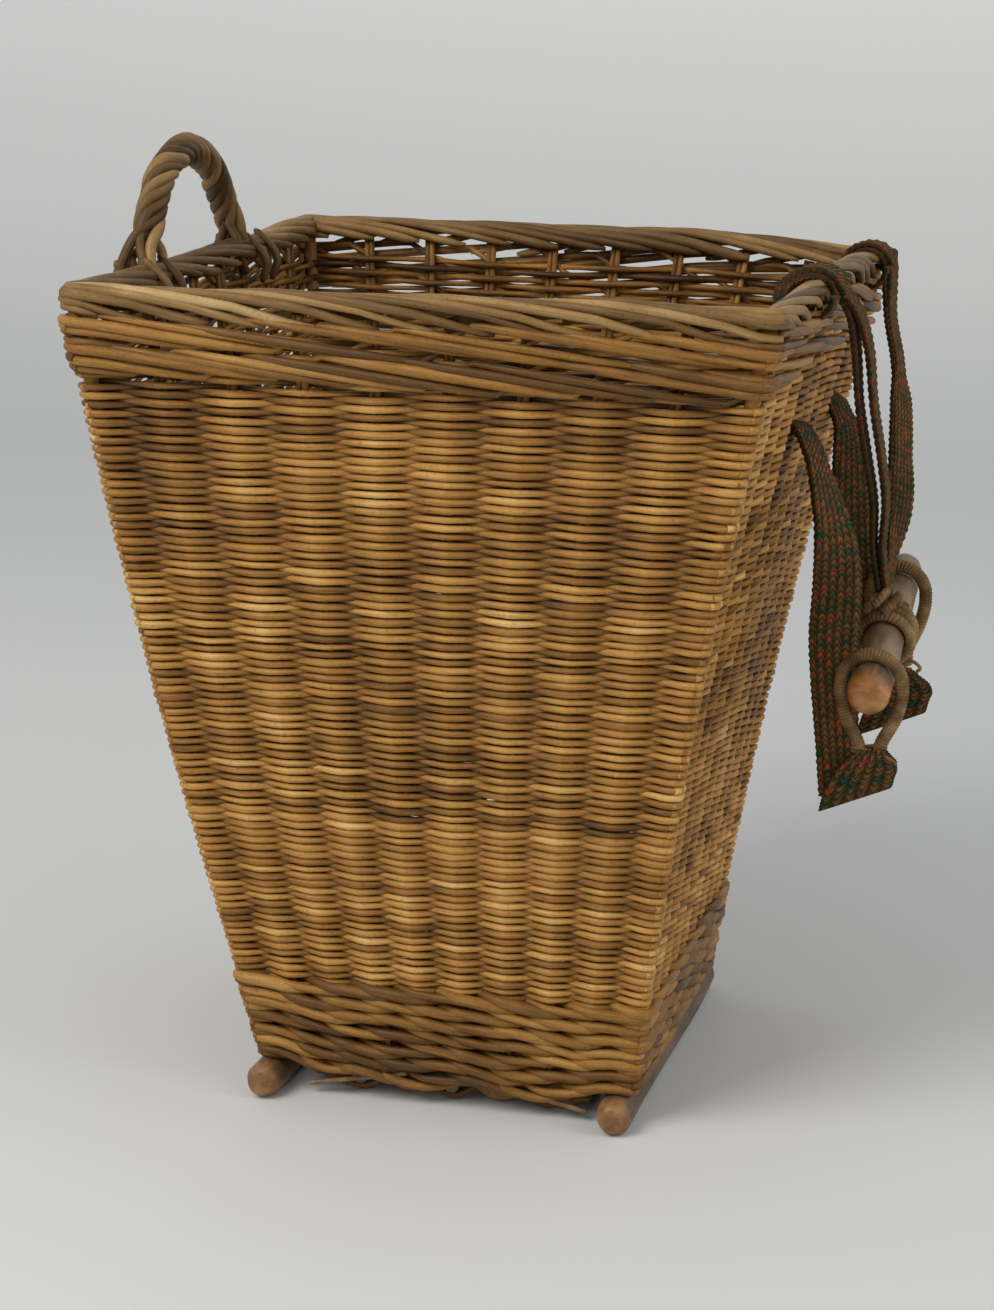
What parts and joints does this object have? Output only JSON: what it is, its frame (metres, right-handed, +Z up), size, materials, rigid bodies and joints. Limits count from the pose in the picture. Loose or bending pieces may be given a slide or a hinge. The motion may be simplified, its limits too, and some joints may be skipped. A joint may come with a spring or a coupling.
{
  "type": "willow back basket",
  "caption": "Tapering square willow back basket with a roped side handle, webbing carrying straps and a wooden chest bar.",
  "frame": {"origin": "on the floor, under the middle of the whole object's length and width", "axes": "+Z up; +X towards the wearer's side, which carries the straps; -X is the handle's side"},
  "size_m": [0.5568, 0.5002, 0.6831],
  "materials": {
    "woven_willow": "satin",
    "stake_willow": "satin",
    "wale_willow": "satin",
    "border_willow": "satin",
    "handle_willow": "satin",
    "whittled_stick": "matte",
    "bar_wood": "satin",
    "webbing": "matte",
    "cord": "matte"
  },
  "bodies": {
    "basket": {"near_side_weave": "woven_willow", "wearer_side_weave": "woven_willow", "far_side_weave": "woven_willow", "handle_side_weave": "woven_willow", "near_side_stakes": "stake_willow", "wearer_side_stakes": "stake_willow", "far_side_stakes": "stake_willow", "handle_side_stakes": "stake_willow", "corner_stakes": "stake_willow", "lower_wale": "wale_willow", "upper_wale": "wale_willow", "top_border": "border_willow", "handle_side_runner": "whittled_stick", "wearer_side_runner": "whittled_stick", "base_sticks": "whittled_stick", "base_weave": "woven_willow", "runner_ties": "stake_willow", "roped_handle": "handle_willow", "handle_lacing": "handle_willow", "near_arm_band": "webbing", "far_arm_band": "webbing"},
    "harness": {"near_shoulder_strap": "webbing", "far_shoulder_strap": "webbing", "strap_tie": "cord"},
    "bar": {"chest_bar": "bar_wood"},
    "near_eye": {"near_rope_eye": "cord", "near_band_end": "webbing"},
    "far_eye": {"far_rope_eye": "cord", "far_band_end": "webbing"}
  },
  "joints": [
    {"name": "harness_swing", "type": "hinge", "parent": "basket", "child": "harness", "pos_m": [0.20732, 0, 0.59], "axis": [0, -1, 0], "range_deg": [0, 35]},
    {"name": "bar_turn", "type": "hinge", "parent": "harness", "child": "bar", "pos_m": [0.2523, 0.01, 0.3395], "axis": [0, 0.9668, 0.2554], "continuous": true},
    {"name": "near_eye_slip", "type": "slide", "parent": "harness", "child": "near_eye", "axis": [0, -0.9668, -0.2554], "range_m": [0, 0.05]},
    {"name": "far_eye_slip", "type": "slide", "parent": "harness", "child": "far_eye", "axis": [0, -0.9668, -0.2554], "range_m": [0, 0.03]}
  ]
}
